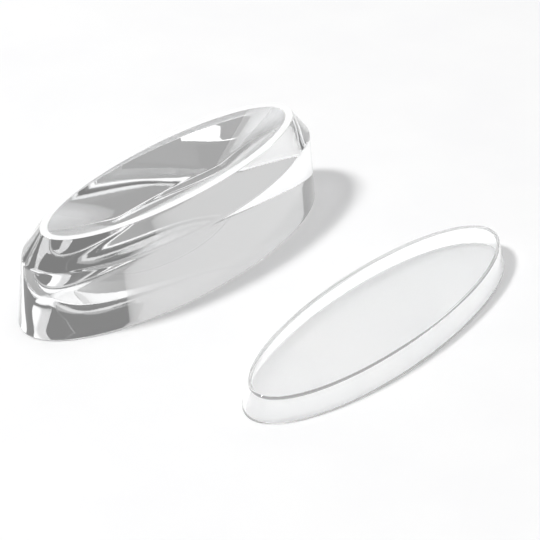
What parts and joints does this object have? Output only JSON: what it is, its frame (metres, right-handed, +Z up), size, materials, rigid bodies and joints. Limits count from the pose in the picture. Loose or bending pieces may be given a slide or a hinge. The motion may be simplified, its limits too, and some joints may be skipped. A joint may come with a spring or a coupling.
{
  "type": "lens block with lift-off cover",
  "caption": "Elliptical clear lens block with a bevelled shoulder and a recessed, concave top, and a thin flared clear cover that lifts off.",
  "frame": {"origin": "centre of the lens block's flat base, on the surface it stands on", "axes": "+X along the lens block's long axis, +Z up from its base; the cover lies on the same surface on the -Y side"},
  "size_m": [0.0725, 0.0689, 0.0166],
  "materials": {
    "lens_glass": "polished, colourless",
    "cover_clear": "thin clear moulding, gloss"
  },
  "bodies": {
    "block": {"lens_block": "lens_glass"},
    "cover": {"cover": "cover_clear"}
  },
  "joints": [
    {"name": "cover_lift", "type": "slide", "parent": "block", "child": "cover", "axis": [0, 0, 1], "range_m": [0, 0.03]}
  ]
}
